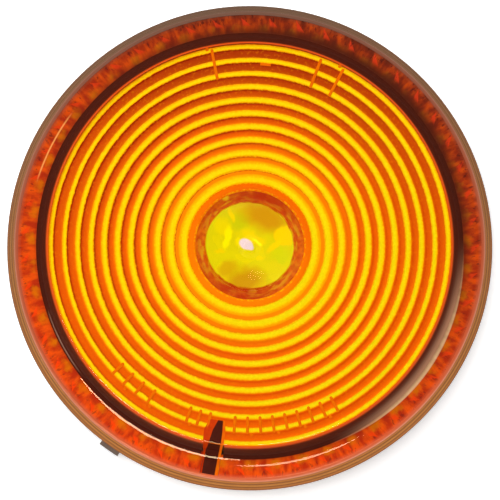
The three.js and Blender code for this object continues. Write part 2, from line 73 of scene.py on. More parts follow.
# Shell of the lens
SHELL_COLUMNS = 288
PLATEAU_RADIUS = 41.6
PLATEAU_THICKNESS = 1.2
EDGE_ROUND = 0.6
FLANGE_TOP = LENS_LOW + 7.5
FLANGE_UNDERSIDE = FLANGE_TOP - 0.95
FILLET_RADIUS = 3.4
FILLET_CENTRE = 45.6
WALL_FOOT = 200  # degrees round the fillet where the straight wall ends
DARK_WALL_END = 240  # degrees round the fillet where the dark wall ends
SHOULDER_ROUND = 0.85
SHOULDER_CENTRE = 47.65
SKIRT_STEPS = 4
STEP_RUN = 1.45
STEP_IN = 0.33
SKIRT_THICKNESS = 1.5

# Ring optic
RING_COUNT = 11
FIRST_RING = 13.43
RING_PITCH = 2.729
WINDOW_RADIUS = 11.15
OPTIC_RADIUS = 41.42
OPTIC_TOP = LENS_HIGH - 1.75
OPTIC_THICKNESS = 0.7
RELIEF = 0.4

# Keyway: its right-hand edge lies along this angle, and the dark wall is open over its middle
KEYWAY_ANGLE = math.radians(261.4)
KEYWAY_MIDDLE = KEYWAY_ANGLE - math.radians(1.75)
KEYWAY_HALF = math.radians(2.8)

# Reflex prisms
PRISM_COUNT = 51
PRISM_COLUMNS = 16
FIRST_PRISM = math.radians(1.4)
REFLEX_INNER = 43.2
REFLEX_OUTER = 47.7
REFLEX_LOW = 9.85
REFLEX_STEP = 10.75
SEAL_EDGE = 44.15

# Middle
DISC_RADIUS = 8.94
DISC_EDGE = 1.0
FRAME_RADIUS = 2.5
CHIP_HALF = 1.2
CHIP_DOME = 1.3

# Base and bayonet lugs
LUG_INNER = 45.7
LUG_OUTER = 48.2
LUG_LOW = LENS_LOW + 0.4
LUG_TOP = LENS_LOW + 2.0
BASE_FLOOR = BASE_LOW + 2.7
BROKEN_RIM = BASE_LOW + 5.4
BASE_RADIUS = 49.0
GROOVE_DEPTH = 1.0
INDEX_ANGLE = math.radians(235)
POST_CIRCLE = 31
POST_RADIUS = 3.2

# Board, in the standard steps of its parts
TRACK_PITCH = 2.54
PAD_PITCH = 5.08

# ---- mesh helpers


def polar(radius, angle, height):
    return Vector((radius * math.cos(angle), radius * math.sin(angle), height)) * MM


def arc(centre, radius, start, end, steps):
    """Points of an arc in a (radius, height) section, from start to end degrees."""
    points = []
    for step in range(steps + 1):
        turn = math.radians(start + (end - start) * step / steps)
        points.append((centre[0] + radius * math.cos(turn), centre[1] + radius * math.sin(turn)))
    return points


def even_angles(count):
    return [2 * math.pi * index / count for index in range(count)]


def new_object(name, vertices, faces, tags, materials, sharp=35):
    """A closed, smoothly shaded mesh object with its faces pointing out."""
    mesh = bpy.data.meshes.new(name)
    mesh.from_pydata([tuple(v) for v in vertices], [], faces)
    for material in materials:
        mesh.materials.append(material)
    mesh.polygons.foreach_set("material_index", tags)
    shape = bmesh.new()
    shape.from_mesh(mesh)
    bmesh.ops.recalc_face_normals(shape, faces=shape.faces)
    shape.to_mesh(mesh)
    shape.free()
    mesh.shade_smooth()
    mesh.set_sharp_from_angle(angle=math.radians(sharp))
    made = bpy.data.objects.new(name, mesh)
    bpy.context.scene.collection.objects.link(made)
    return made


def turned(name, profile, angles, materials, sharp=35):
    """Turns a section round Z. It starts and ends on the axis, or closes on itself.

    Its points are (radius, height) or (radius, height, tag), and a tag may be a function of the angle.
    """
    vertices = []
    rows = []
    for radius, height, *_ in profile:
        if radius == 0:
            rows.append([len(vertices)] * len(angles))
            vertices.append(Vector((0, 0, height * MM)))
        else:
            rows.append(list(range(len(vertices), len(vertices) + len(angles))))
            vertices.extend(polar(radius, angle, height) for angle in angles)
    faces = []
    tags = []
    strips = len(profile) if profile[0][0] > 0 else len(profile) - 1
    for row in range(strips):
        near = rows[row]
        far = rows[(row + 1) % len(rows)]
        tag = profile[row][2] if len(profile[row]) > 2 else 0
        for column in range(len(angles)):
            after = (column + 1) % len(angles)
            corners = dict.fromkeys([near[column], near[after], far[after], far[column]])
            faces.append(list(corners))
            tags.append(tag(angles[column]) if callable(tag) else tag)
    return new_object(name, vertices, faces, tags, materials, sharp)


def loft(loops, closed, tag_of=None):
    """Vertices, faces and tags of a skin over successive loops, capped unless it closes on itself."""
    size = len(loops[0])
    vertices = [corner for loop in loops for corner in loop]
    faces = []
    tags = []
    for index in range(len(loops) if closed else len(loops) - 1):
        near = index * size
        far = ((index + 1) % len(loops)) * size
        for corner in range(size):
            after = (corner + 1) % size
            faces.append([near + corner, near + after, far + after, far + corner])
            tags.append(tag_of(corner) if tag_of else 0)
    if not closed:
        faces.append(list(range(size)))
        faces.append([len(vertices) - size + corner for corner in range(size)])
        tags.extend([0, 0])
    return vertices, faces, tags


def merged(parts):
    """Joins several (vertices, faces, tags) into one."""
    vertices = []
    faces = []
    tags = []
    for some_vertices, some_faces, some_tags in parts:
        start = len(vertices)
        vertices.extend(some_vertices)
        faces.extend([[start + corner for corner in face] for face in some_faces])
        tags.extend(some_tags)
    return vertices, faces, tags


def sector(inner, outer, low, high, angle, width, steps=8):
    """A block of a flat ring, centred on an angle, as (vertices, faces, tags)."""
    loops = []
    for step in range(steps + 1):
        turn = angle + width * (step / steps - 0.5)
        section = [(inner, low), (outer, low), (outer, high), (inner, high)]
        loops.append([polar(radius, turn, height) for radius, height in section])
    return loft(loops, closed=False)


# ---- shading helpers


def srgb(red, green, blue):
    """A colour as it looks on a screen, from 0 to 255, as the linear numbers that shaders use."""
    values = []
    for value in (red, green, blue):
        share = value / 255
        values.append(share / 12.92 if share <= 0.04045 else ((share + 0.055) / 1.055) ** 2.4)
    return (*values, 1.0)


class Shading:
    """A material and short ways to add nodes to it. Lengths in its coordinates are millimetres."""

    def __init__(self, name):
        self.material = bpy.data.materials.new(name)
        self.material.use_nodes = True
        self.tree = self.material.node_tree
        self.tree.nodes.clear()
        self.output = self.add("ShaderNodeOutputMaterial")
        place = self.add("ShaderNodeTexCoord").outputs["Object"]
        self.place = self.vector("SCALE", place, scale=1 / MM)
        split = self.add("ShaderNodeSeparateXYZ")
        self.join(self.place, split.inputs[0])
        self.x, self.y, self.z = split.outputs
        self.radius = self.reach(self.x, self.y)
        self.angle = self.math("ARCTAN2", self.y, self.x)

    def add(self, kind):
        return self.tree.nodes.new(kind)

    def join(self, value, socket):
        if isinstance(value, bpy.types.NodeSocket):
            self.tree.links.new(value, socket)
        else:
            socket.default_value = value

    def vector(self, operation, a, b=None, scale=None):
        node = self.add("ShaderNodeVectorMath")
        node.operation = operation
        self.join(a, node.inputs[0])
        if b is not None:
            self.join(b, node.inputs[1])
        if scale is not None:
            self.join(scale, node.inputs["Scale"])
        return node.outputs[0]

    def math(self, operation, *values):
        node = self.add("ShaderNodeMath")
        node.operation = operation
        for value, socket in zip(values, node.inputs):
            self.join(value, socket)
        return node.outputs[0]

    def plus(self, a, b):
        return self.math("ADD", a, b)

    def minus(self, a, b):
        return self.math("SUBTRACT", a, b)

    def times(self, a, b):
        return self.math("MULTIPLY", a, b)

    def over(self, a, b):
        return self.math("DIVIDE", a, b)

    def larger(self, a, b):
        return self.math("MAXIMUM", a, b)

    def apart(self, a, b):
        """How far apart two values are."""
        return self.math("ABSOLUTE", self.minus(a, b))

    def reach(self, a, b):
        """How far a point at (a, b) lies from the origin."""
        return self.math("SQRT", self.plus(self.times(a, a), self.times(b, b)))

    def phase(self, turns):
        """Where a value lies between two whole numbers, from -0.5 to 0.5."""
        return self.minus(self.math("FRACT", turns), 0.5)

    def step(self, value, low, high):
        """0 below low, 1 above high, and smooth between. low may be the larger."""
        node = self.add("ShaderNodeMapRange")
        node.interpolation_type = "SMOOTHSTEP"
        self.join(value, node.inputs["Value"])
        start, end, first, last = (low, high, 0.0, 1.0) if low < high else (high, low, 1.0, 0.0)
        node.inputs["From Min"].default_value = start
        node.inputs["From Max"].default_value = end
        node.inputs["To Min"].default_value = first
        node.inputs["To Max"].default_value = last
        return node.outputs["Result"]

    def noise(self, scale, detail=2.0, place=None, stretch=None):
        """Noise from 0 to 1 whose features are about 1 / scale millimetres."""
        vector = self.place if place is None else place
        if stretch is not None:
            vector = self.vector("MULTIPLY", vector, stretch)
        node = self.add("ShaderNodeTexNoise")
        self.join(vector, node.inputs["Vector"])
        node.inputs["Scale"].default_value = scale
        node.inputs["Detail"].default_value = detail
        return node.outputs["Fac"]

    def mix(self, share, a, b):
        node = self.add("ShaderNodeMix")
        node.data_type = "RGBA"
        self.join(share, node.inputs["Factor"])
        self.join(a, node.inputs["A"])
        self.join(b, node.inputs["B"])
        return node.outputs["Result"]

    def paint(self, base, share, strength, *colour):
        """Lays a screen colour over another, by a share from 0 to 1 and a strength."""
        return self.mix(self.times(share, strength), base, srgb(*colour))

    def ramp(self, value, stops):
        """Screen colours along a value from 0 to 1: stops are (place, red, green, blue)."""
        node = self.add("ShaderNodeValToRGB")
        self.join(value, node.inputs[0])
        band = node.color_ramp
        while len(band.elements) < len(stops):
            band.elements.new(0.5)
        for element, (place, *colour) in zip(band.elements, stops):
            element.position = place
            element.color = srgb(*colour)
        return node.outputs[0]

    def ellipse(self, x, y, patch):
        """How strongly a point (x, y) lies in a soft oval patch."""
        middle_x, middle_y, width, height, turn, soft, strength = patch[:7]
        cosine = math.cos(math.radians(turn))
        sine = math.sin(math.radians(turn))
        across = self.minus(x, middle_x)
        up = self.minus(y, middle_y)
        along = self.plus(self.times(across, cosine), self.times(up, sine))
        aside = self.minus(self.times(up, cosine), self.times(across, sine))
        size = self.reach(self.over(along, width / 2), self.over(aside, height / 2))
        return self.times(self.step(size, 1 + soft, 1 - soft), strength)

    def toward(self, degrees, sharpness=1.0):
        """1 on the side that faces this angle and 0 on the other."""
        lean = self.math("COSINE", self.minus(self.angle, math.radians(degrees)))
        return self.math("POWER", self.math("MULTIPLY_ADD", lean, 0.5, 0.5), sharpness)

    def surface(self, colour, roughness=0.4, metallic=0.0, specular=0.5, bump=None, bump_depth=0.05):
        node = self.add("ShaderNodeBsdfPrincipled")
        self.join(colour, node.inputs["Base Color"])
        self.join(roughness, node.inputs["Roughness"])
        node.inputs["Metallic"].default_value = metallic
        node.inputs["Specular IOR Level"].default_value = specular
        if bump is not None:
            relief = self.add("ShaderNodeBump")
            relief.inputs["Strength"].default_value = 0.5
            relief.inputs["Distance"].default_value = bump_depth * MM
            self.join(bump, relief.inputs["Height"])
            self.join(relief.outputs[0], node.inputs["Normal"])
        return node

    def finish(self, shader):
        self.tree.links.new(shader.outputs[0], self.output.inputs["Surface"])
        return self.material

    def glowing(self, colour, diffuse, glow, roughness=0.5, specular=0.03, bump=None, bump_depth=0.05):
        """A surface that is lit from behind: part of its colour is reflected and part is its own light."""
        dimmed = self.vector("SCALE", colour, scale=diffuse)
        node = self.surface(dimmed, roughness, 0.0, specular, bump, bump_depth)
        self.join(colour, node.inputs["Emission Color"])
        node.inputs["Emission Strength"].default_value = glow
        return self.finish(node)


# ---- materials of the lens

GLOW_DIFFUSE = 0.45
GLOW_LIGHT = 0.6


def clear_skin(name, grain, tints, gloss_colour, roughness, index, strength):
    """A clear skin: mirrors a little at its face and lets the colours below through."""
    s = Shading(name)
    pane = s.add("ShaderNodeBsdfTransparent")
    s.join(s.mix(s.noise(grain), *tints), pane.inputs["Color"])
    gloss = s.add("ShaderNodeBsdfGlossy")
    gloss.inputs["Color"].default_value = gloss_colour
    gloss.inputs["Roughness"].default_value = roughness
    fresnel = s.add("ShaderNodeFresnel")
    fresnel.inputs["IOR"].default_value = index
    both = s.add("ShaderNodeMixShader")
    s.join(s.times(fresnel.outputs[0], strength), both.inputs[0])
    s.join(pane.outputs[0], both.inputs[1])
    s.join(gloss.outputs[0], both.inputs[2])
    return s.finish(both)


def clear_amber():
    """The lens's outer face."""
    tints = srgb(255, 252, 247), srgb(255, 255, 252)
    return clear_skin("clear_amber", 0.08, tints, (1, 0.97, 0.93, 1), 0.05, 1.49, 0.8)


def inside_amber():
    """The clear lens's inner faces, which don't mirror."""
    s = Shading("inside_amber")
    pane = s.add("ShaderNodeBsdfTransparent")
    s.join(s.mix(s.noise(0.1), srgb(255, 252, 245), srgb(255, 255, 252)), pane.inputs["Color"])
    return s.finish(pane)


def wall_amber():
    """The steep wall: deep brown as painted shade, amber at its very top, and a painted sheen at its foot on
    one side.
    """
    s = Shading("wall_amber")
    top = s.step(s.z, LENS_HIGH - 2.3, LENS_HIGH - 0.6)
    grain = s.noise(1.2, 4)
    # Painted shade: the wall is deep brown for how dark it looks from above.
    brown = s.mix(grain, srgb(62, 21, 11), srgb(80, 29, 15))
    # Painted sheen: the wall's foot turns pale on the side towards -33 degrees.
    foot = s.step(s.radius, 42.1, 43.9)
    painted_sheen = s.times(foot, s.step(s.toward(-33, 9.0), 0.4, 0.95))
    brown = s.mix(painted_sheen, brown, srgb(172, 122, 92))
    colour = s.mix(top, brown, srgb(224, 80, 4))
    rough = s.math("MULTIPLY_ADD", s.step(s.z, FLANGE_TOP + 0.8, FLANGE_TOP + 1.5), 0.4, 0.08)
    return s.glowing(colour, 0.35, 0.75, roughness=rough, specular=0.2)


def skirt_amber():
    """Shoulder and stepped skirt: brown amber, with painted highlights on each ledge and on the shoulder,
    painted shade on its far side and painted light on its near side.
    """
    s = Shading("skirt_amber")
    across = s.over(s.minus(s.radius, 48.2), LENS_RADIUS - 48.2)
    # Pale lines on the ledges are painted highlights, between darker lines.
    lined = s.ramp(across, [
        (0.0, 206, 124, 82), (0.14, 160, 94, 54), (0.28, 214, 138, 68),
        (0.40, 136, 82, 44), (0.56, 220, 146, 68), (0.70, 144, 86, 46),
        (0.84, 204, 130, 62), (0.93, 148, 90, 50), (1.0, 160, 98, 56),
    ])
    lined = s.paint(lined, s.noise(0.5, 3), 0.5, 150, 90, 48)
    shoulder = s.step(s.z, LENS_LOW + SKIRT_STEPS * STEP_RUN, FLANGE_TOP - 0.5)
    # The pale band on the rounded shoulder is a painted highlight.
    border = s.ramp(s.minus(s.radius, 47.85), [
        (0.0, 198, 78, 40), (0.25, 206, 96, 62), (0.5, 226, 146, 112),
        (0.72, 176, 104, 72), (0.9, 132, 78, 46),
    ])
    border = s.paint(border, s.noise(0.9), 0.4, 204, 110, 70)
    colour = s.mix(shoulder, lined, border)
    # Painted shade: duller and greyer on the far side.
    dull = s.paint(colour, s.toward(95, 1.5), 0.9, 102, 80, 66)
    # Painted light: brighter on the near side.
    brighter = s.plus(s.times(s.toward(-72, 3.0), 0.3), 1.02)
    return s.glowing(s.vector("SCALE", dull, scale=brighter), 0.5, 0.5, roughness=0.2, specular=0.2)


def ring_phase(s):
    """Where a place lies across its prism, from 0 to 1, with outer bands narrowed and inner ones widened."""
    wobble = s.times(s.minus(s.noise(0.9, 3), 0.5), 0.22)
    place = s.plus(s.radius, wobble)
    turns = s.plus(s.over(s.minus(place, FIRST_RING), RING_PITCH), 0.5)
    far_out = s.step(s.radius, 27, 42)
    narrow = s.times(far_out, s.minus(0.75, s.times(s.toward(35, 3.0), 0.35)))
    wide = s.times(s.step(s.radius, 21, 15.5), 0.5)
    extra = s.minus(narrow, wide)
    phase = s.phase(turns)
    fade = s.minus(1.0, s.times(s.math("ABSOLUTE", phase), 2.0))
    stretch = s.plus(s.times(extra, fade), 1.0)
    return s.plus(s.times(phase, stretch), 0.5)


def ring_bands(s, phase):
    """The yellow bands: even on the near side, and with a dark inner edge of painted shade on the far side.
    """
    near = s.ramp(phase, [
        (0.0, 230, 94, 0), (0.14, 244, 110, 0), (0.22, 246, 122, 0),
        (0.31, 240, 176, 3), (0.38, 230, 214, 8), (0.5, 238, 219, 4),
        (0.62, 246, 214, 2), (0.70, 246, 184, 1), (0.79, 236, 106, 0),
        (0.88, 212, 72, 0), (1.0, 230, 94, 0),
    ])
    # Painted shade: on the far side each band's inner edge is darkened.
    far = s.ramp(phase, [
        (0.0, 234, 98, 0), (0.13, 214, 74, 0), (0.2, 164, 30, 0),
        (0.26, 156, 28, 0), (0.30, 244, 120, 0), (0.36, 252, 198, 0),
        (0.45, 252, 220, 2), (0.58, 249, 214, 2), (0.69, 250, 182, 1),
        (0.79, 252, 136, 0), (0.9, 242, 104, 0), (1.0, 234, 98, 0),
    ])
    return s.mix(s.toward(-45, 1.2), far, near)


def ring_amber():
    """Ring optic: a yellow band for each prism on an orange ground, darkened outwards on the far side by
    painted shade.
    """
    s = Shading("ring_amber")
    phase = ring_phase(s)
    colour = ring_bands(s, phase)
    band = s.step(s.apart(phase, 0.5), 0.22, 0.30)
    middle = s.step(s.radius, 24, 13)
    warm = s.mix(s.times(middle, band), colour, srgb(253, 140, 0))
    shoulder = s.times(s.step(phase, 0.66, 0.72), s.step(phase, 0.98, 0.8))
    shoulder = s.times(shoulder, s.step(s.radius, 22, 15))
    warm = s.paint(warm, shoulder, 0.8, 252, 186, 0)
    # Painted shade: the outer bands darken on the far side.
    edge = s.times(s.step(s.radius, 18, 41), s.toward(88, 2.2))
    deep = s.paint(warm, s.times(edge, band), 0.8, 146, 38, 4)
    rim = s.step(s.radius, 12.85, 12.45)
    rim_colour = s.mix(s.toward(-110, 1.0), srgb(238, 104, 0), srgb(253, 132, 0))
    framed = s.mix(rim, deep, rim_colour)
    grain = s.times(s.step(s.noise(2.2, 3), 0.42, 0.7), s.step(band, 0.6, 0.1))
    framed = s.paint(framed, grain, 0.4, 255, 236, 20)
    speck = s.times(s.step(s.noise(1.6, 4), 0.5, 0.75), band)
    mottled = s.paint(framed, speck, 0.3, 236, 140, 0)
    return s.glowing(mottled, GLOW_DIFFUSE, GLOW_LIGHT, bump=s.noise(2.5, 3), bump_depth=0.03)


def keyway_amber():
    """Keyway: dark floor between an orange-red slope and a bright thin rim."""
    s = Shading("keyway_amber")
    outward = s.step(s.radius, 43.4, 46.5)
    left = s.minus(s.times(s.x, math.sin(KEYWAY_ANGLE)),
                  s.times(s.y, math.cos(KEYWAY_ANGLE)))
    slope = s.mix(s.noise(0.9, 3), srgb(176, 44, 8), srgb(226, 72, 6))
    dim = s.mix(s.noise(1.4, 3), srgb(150, 36, 10), srgb(206, 58, 12))
    rim = s.mix(s.noise(0.8, 2), srgb(230, 82, 8), srgb(246, 128, 8))
    bright = s.mix(s.step(left, 0.9, 0.4), s.mix(outward, slope, dim), rim)
    return s.glowing(bright, GLOW_DIFFUSE, GLOW_LIGHT, bump=s.noise(1.5, 3))


def keyway_dark():
    s = Shading("keyway_dark")
    colour = s.mix(s.noise(0.8, 4), srgb(62, 22, 16), srgb(86, 32, 20))
    return s.glowing(colour, 0.4, 0.6, bump=s.noise(1.5, 3))


def mark_amber():
    """Plain moulded bars and pips."""
    s = Shading("mark_amber")
    colour = s.mix(s.noise(1.2, 2), srgb(222, 92, 0), srgb(242, 130, 0))
    return s.glowing(colour, GLOW_DIFFUSE, GLOW_LIGHT)


def prism_streaks(s, turns, mottle):
    """Leaning streaks, one to each prism, that widen inwards."""
    lean = s.times(s.minus(s.radius, 46.0), 0.12)
    across = s.phase(s.minus(s.plus(turns, 0.78), lean))
    spread = s.times(s.minus(47.5, s.radius), 0.07)
    streak = s.minus(spread, s.math("ABSOLUTE", across))
    streak = s.plus(streak, s.times(s.minus(mottle, 0.5), 0.12))
    return s.times(s.step(streak, -0.01, 0.03), s.step(s.radius, 45.2, 46.0))


def prism_patches(s, around):
    """A ragged patch at the inner end of most prisms."""
    up = s.over(s.minus(s.radius, 44.9), 0.95)
    patch = s.reach(s.over(around, 1.3), up)
    patch = s.plus(patch, s.times(s.minus(s.noise(1.1, 3), 0.5), 2.2))
    return s.times(s.step(patch, 1.5, 0.2), s.step(s.noise(0.4, 1), 0.25, 0.55))


def prism_borders(s, colour):
    """Paler outside and painted shade inside, apart from the side with a painted sheen next to the wall's
    foot.
    """
    colour = s.paint(colour, s.step(s.radius, 46.8, REFLEX_OUTER), 0.7, 222, 104, 66)
    dim_side = s.toward(58, 1.5)
    dim_end = s.plus(s.times(dim_side, 2.0), 44.2)
    # Painted shade: dark at the inner edge, reaching farther on the far side.
    inner = s.step(s.minus(s.radius, dim_end), 0.3, -2.0)
    inner = s.times(inner, s.larger(dim_side, 0.75))
    colour = s.paint(colour, inner, 0.95, 66, 28, 14)
    # Painted sheen: pale at the inner edge on the side towards -33 degrees, as on the wall's foot.
    sheen_side = s.toward(-33, 9.0)
    sheen_end = s.plus(s.times(sheen_side, 1.55), REFLEX_INNER)
    painted_sheen = s.step(s.minus(s.radius, sheen_end), 0.12, -0.12)
    sheen_tone = s.mix(s.step(s.radius, 43.4, 44.5), srgb(160, 112, 84), srgb(255, 210, 160))
    return s.mix(s.times(painted_sheen, s.step(sheen_side, 0.3, 0.9)), colour, sheen_tone)


def prism_amber():
    """Reflex prisms: mottled red-orange with leaning streaks, yellow patches inside and dark flecks, painted
    shade on the far side and a painted glint.
    """
    s = Shading("prism_amber")
    pitch = 2 * math.pi / PRISM_COUNT
    turns = s.over(s.minus(s.angle, FIRST_PRISM - 2 * math.pi), pitch)
    around = s.times(s.phase(s.plus(turns, 0.5)), pitch * 45.3)
    around_ring = s.times(s.angle, 45.5)
    streaked = s.add("ShaderNodeCombineXYZ")
    s.join(around_ring, streaked.inputs[0])
    s.join(s.times(s.radius, 0.42), streaked.inputs[1])
    mottle = s.noise(0.62, 4, place=streaked.outputs[0])
    colour = s.mix(s.step(mottle, 0.36, 0.64), srgb(196, 50, 14), srgb(242, 88, 12))
    streak = prism_streaks(s, turns, mottle)
    colour = s.paint(colour, streak, 0.8, 255, 70, 6)
    colour = s.paint(colour, prism_patches(s, around), 0.85, 230, 122, 2)
    fleck = s.step(s.noise(1.7, 3, place=streaked.outputs[0]), 0.57, 0.65)
    fleck = s.times(fleck, s.step(s.radius, 45.2, 46.6))
    colour = s.paint(colour, fleck, 0.55, 116, 38, 28)
    colour = prism_borders(s, colour)
    # Painted shade on the far side, with streaks and flecks drawn again over it.
    far_side = s.toward(62, 1.4)
    shade = s.times(far_side, s.step(mottle, 1.1, 0.2))
    colour = s.paint(colour, shade, 0.95, 88, 34, 20)
    colour = s.paint(colour, s.times(streak, far_side), 0.7, 216, 58, 26)
    colour = s.paint(colour, s.times(fleck, far_side), 0.45, 52, 20, 20)
    # Painted highlight: a thin pale glint at one place on the prisms.
    glint = s.step(s.apart(s.radius, 45.75), 0.24, 0.06)
    glint = s.times(glint, s.step(s.toward(153), 0.991, 0.998))
    colour = s.paint(colour, glint, 0.8, 255, 176, 96)
    return s.glowing(colour, GLOW_DIFFUSE, GLOW_LIGHT, bump=mottle, bump_depth=0.1)


# ---- materials of the middle

# The pattern in the bowl has its middle a little towards +Y
BOWL_RISE = 0.2

# Painted reflections in the lit bowl, soft patches of light and shade: x, y, width, height, turn in degrees,
# softness, strength, colour
BOWL_PATCHES = [
    (-2.0, 4.9, 4.4, 3.4, 0, 0.5, 0.9, (206, 206, 10)),
    (6.2, -2.4, 4.0, 4.0, 0, 0.5, 0.8, (216, 218, 8)),
    (3.2, 6.0, 10.5, 5.2, -24, 0.65, 0.95, (213, 150, 10)),
    (-0.8, -7.2, 7.4, 4.8, 0, 0.6, 0.95, (208, 150, 6)),
    (-4.8, -4.7, 4.0, 2.8, 30, 0.5, 0.8, (214, 164, 10)),
    (4.9, -5.3, 3.2, 4.8, 40, 0.3, 0.9, (232, 216, 10)),
    (7.4, 1.9, 4.6, 4.2, 20, 0.25, 1.0, (255, 216, 0)),
    (5.2, 0.1, 3.6, 1.2, 38, 0.5, 0.9, (255, 220, 0)),
    (-5.4, 3.6, 2.8, 4.2, 40, 0.5, 0.8, (244, 222, 0)),
    (-4.6, 1.7, 1.7, 4.2, -12, 0.4, 1.0, (255, 244, 0)),
    (-3.9, 6.3, 1.0, 2.8, 14, 0.5, 0.9, (255, 222, 0)),
    (-6.0, -1.0, 2.4, 1.0, 0, 0.5, 0.8, (248, 216, 0)),
    (1.0, 1.6, 4.2, 2.0, -25, 0.5, 0.9, (255, 222, 0)),
    (-1.9, 0.6, 1.6, 1.6, 0, 0.5, 0.9, (255, 232, 0)),
    (1.5, 0.9, 2.2, 0.6, -40, 0.5, 1.0, (255, 252, 20)),
    (2.3, -2.7, 1.0, 0.8, -30, 0.5, 0.9, (255, 222, 0)),
]
# Painted highlights: the pale reflection of a lamp on the dome, drawn on the bowl and emitter below it.
DOME_HIGHLIGHTS = [
    (-0.75, 0.35, 2.9, 2.1, -30, 0.16, 1.0, (240, 218, 240)),
    (-0.1, -0.15, 2.0, 1.2, -35, 0.2, 1.0, (238, 216, 238)),
]


def bowl_colour(s, x, y):
    """The lit bowl and emitter: yellow, with lighter facets and soft patches of painted reflections."""
    colour = s.mix(s.noise(0.3, 2), srgb(218, 208, 8), srgb(234, 218, 8))
    # Painted reflections: some facets show lighter.
    facets = s.add("ShaderNodeTexVoronoi")
    s.join(s.place, facets.inputs["Vector"])
    facets.inputs["Scale"].default_value = 0.36
    tone = s.add("ShaderNodeSeparateXYZ")
    s.join(facets.outputs["Color"], tone.inputs[0])
    colour = s.paint(colour, s.step(tone.outputs[0], 0.5, 0.9), 0.35, 246, 226, 0)
    for patch in BOWL_PATCHES:
        colour = s.mix(s.ellipse(x, y, patch), colour, srgb(*patch[-1]))
    return colour


def collar_colour(s):
    """Collar: orange-brown, darker at the top and bottom, with smears of yellow light at the sides."""
    grain = s.noise(1.1, 5)
    colour = s.mix(s.step(grain, 0.3, 0.7), srgb(196, 66, 0), srgb(222, 108, 2))
    uneven = s.step(s.noise(0.45, 3), 0.2, 0.55)
    poles = s.larger(s.toward(78, 5.0), s.toward(-105, 5.0))
    colour = s.mix(s.times(poles, uneven), colour, srgb(182, 46, 0))
    rays = s.add("ShaderNodeCombineXYZ")
    s.join(s.times(s.angle, 5), rays.inputs[0])
    s.join(s.times(s.radius, 1.6), rays.inputs[1])
    smear = s.step(s.noise(0.7, 4, place=rays.outputs[0]), 0.46, 0.62)
    sides = s.larger(s.toward(12, 5.0), s.larger(s.toward(-52, 8.0), s.toward(190, 5.0)))
    sides = s.larger(sides, s.toward(128, 9.0))
    smear = s.times(s.times(smear, sides), s.step(s.radius, 11.3, 9.8))
    return s.paint(colour, smear, 0.9, 216, 152, 8)


def lit_middle():
    """Bowl, emitter and collar share one pattern, drawn over all of them."""
    s = Shading("lit_middle")
    warp = s.add("ShaderNodeTexNoise")
    s.join(s.place, warp.inputs["Vector"])
    warp.inputs["Scale"].default_value = 0.35
    shifted = s.vector("SCALE", s.vector("SUBTRACT", warp.outputs["Color"], (0.5, 0.5, 0.5)), scale=2.4)
    warped = s.add("ShaderNodeSeparateXYZ")
    s.join(s.vector("ADD", s.place, shifted), warped.inputs[0])
    y = s.minus(warped.outputs[1], BOWL_RISE)
    plain_y = s.minus(s.y, BOWL_RISE)
    disc = bowl_colour(s, warped.outputs[0], y)
    reach = s.reach(s.x, plain_y)
    blur = s.times(s.larger(s.toward(60, 3.0), s.toward(-110, 3.0)), 0.9)
    inside = s.step(s.plus(reach, s.times(blur, s.noise(0.6, 3))), 9.4, 8.95)
    edge = s.step(reach, 8.5, 8.85)
    green = s.times(edge, s.larger(s.toward(0, 8.0), s.toward(180, 8.0)))
    disc = s.paint(disc, green, 0.6, 214, 222, 10)
    colour = s.mix(inside, collar_colour(s), disc)
    colour = s.mix(s.ellipse(s.x, plain_y, (-5.0, 9.75, 1.4, 1.2, 0, 0.5, 0.9)), colour, srgb(228, 176, 6))
    # Painted highlight: the pale reflection on the dome, drawn over the middle.
    for patch in DOME_HIGHLIGHTS:
        colour = s.mix(s.ellipse(s.x, plain_y, patch), colour, srgb(*patch[-1]))
    return s.glowing(colour, 0.22, 0.87, roughness=0.3, specular=0.1, bump=s.noise(0.6, 3), bump_depth=0.1)


def dome_glass():
    """Clear yellow dome over the bowl."""
    tints = srgb(255, 253, 244), srgb(255, 255, 250)
    return clear_skin("dome_glass", 0.3, tints, (0.8, 0.8, 0.8, 1), 0.03, 1.25, 0.25)


# ---- materials of the base and the inside


def moulded(name, colour, roughness=0.5, grain=3.0):
    """Moulded plastic or rubber: fine sparkle-free grain and slight unevenness of colour."""
    s = Shading(name)
    lighter = tuple(min(1.0, channel * 1.35 + 0.01) for channel in colour[:3]) + (1.0,)
    tone = s.mix(s.noise(0.25, 4), colour, lighter)
    rough = s.math("MULTIPLY_ADD", s.noise(grain, 3), 0.2, roughness - 0.1)
    return s.finish(s.surface(tone, rough, bump=s.noise(grain, 3), bump_depth=0.06))


def drawn_metal(name, colour, roughness=0.3, stretch=(1, 1, 12)):
    """Metal with fine marks along its drawn or brushed direction."""
    s = Shading(name)
    marks = s.noise(2.0, 4, stretch=stretch)
    darker = tuple(channel * 0.72 for channel in colour[:3]) + (1.0,)
    tone = s.mix(marks, darker, colour)
    rough = s.math("MULTIPLY_ADD", marks, 0.25, roughness - 0.1)
    return s.finish(s.surface(tone, rough, metallic=1.0, bump=marks, bump_depth=0.02))


